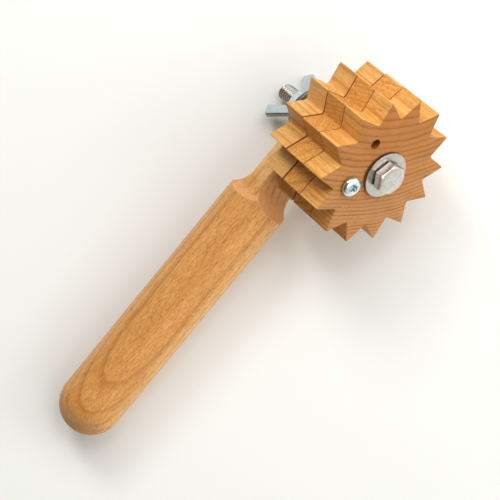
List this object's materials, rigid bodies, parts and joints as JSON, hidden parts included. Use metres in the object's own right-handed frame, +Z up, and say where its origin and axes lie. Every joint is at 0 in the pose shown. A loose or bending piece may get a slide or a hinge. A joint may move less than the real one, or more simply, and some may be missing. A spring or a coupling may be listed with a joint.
{
  "type": "clay texture wheel",
  "caption": "Hand roller for clay: three toothed wooden discs locked together by a screw, spinning on a bolt with a wing nut through the flat tang of a round wooden handle.",
  "frame": {"origin": "centre of the bounding box on the table under the lying tool, z = 0 at the table", "axes": "the tool lies as it rests on a table, on its butt, one tooth of the rear disc and the tail of the bolt: +Z is up, +X runs along the handle from the wheel to the butt, +Y is the side the bolt's head leans to"},
  "size_m": [0.2128, 0.0806, 0.0767],
  "materials": {
    "handle_wood": "fine-grained pale hardwood, sanded and lightly oiled",
    "disc_wood": "sawn and sanded hardwood disc with growth rings on its face",
    "dull_zinc": "dull zinc-plated steel",
    "bright_zinc": "bright bluish zinc plating"
  },
  "bodies": {
    "grip": {"handle": "handle_wood", "axle_bolt": "dull_zinc", "head_washer": "dull_zinc", "spacer_washer": "dull_zinc"},
    "wheel": {"rear_gear": "disc_wood", "middle_gear": "disc_wood", "front_gear": "disc_wood"},
    "screw": {"lock_screw": "bright_zinc"},
    "nut_seat": {"nut_washer": "dull_zinc"},
    "nut": {"wing_nut": "bright_zinc"}
  },
  "joints": [
    {"name": "wheel_spin", "type": "hinge", "parent": "grip", "child": "wheel", "pos_m": [-0.07114, 0.00339, 0.03834], "axis": [0.0282, 0.757, 0.6528], "continuous": true},
    {"name": "screw_withdraw", "type": "slide", "parent": "wheel", "child": "screw", "axis": [0.0282, 0.757, 0.6528], "range_m": [0, 0.033]},
    {"name": "nut_travel", "type": "slide", "parent": "grip", "child": "nut_seat", "axis": [-0.0282, -0.757, -0.6528], "range_m": [-0.0054, 0.0202]},
    {"name": "nut_turn", "type": "hinge", "parent": "nut_seat", "child": "nut", "pos_m": [-0.07218, -0.02456, 0.01423], "axis": [-0.0282, -0.757, -0.6528], "range_deg": [-1370, 5130]}
  ],
  "couplings": [
    {"joint": "nut_travel", "follows": "nut_turn", "m_per_rad": 0.00022457}
  ]
}
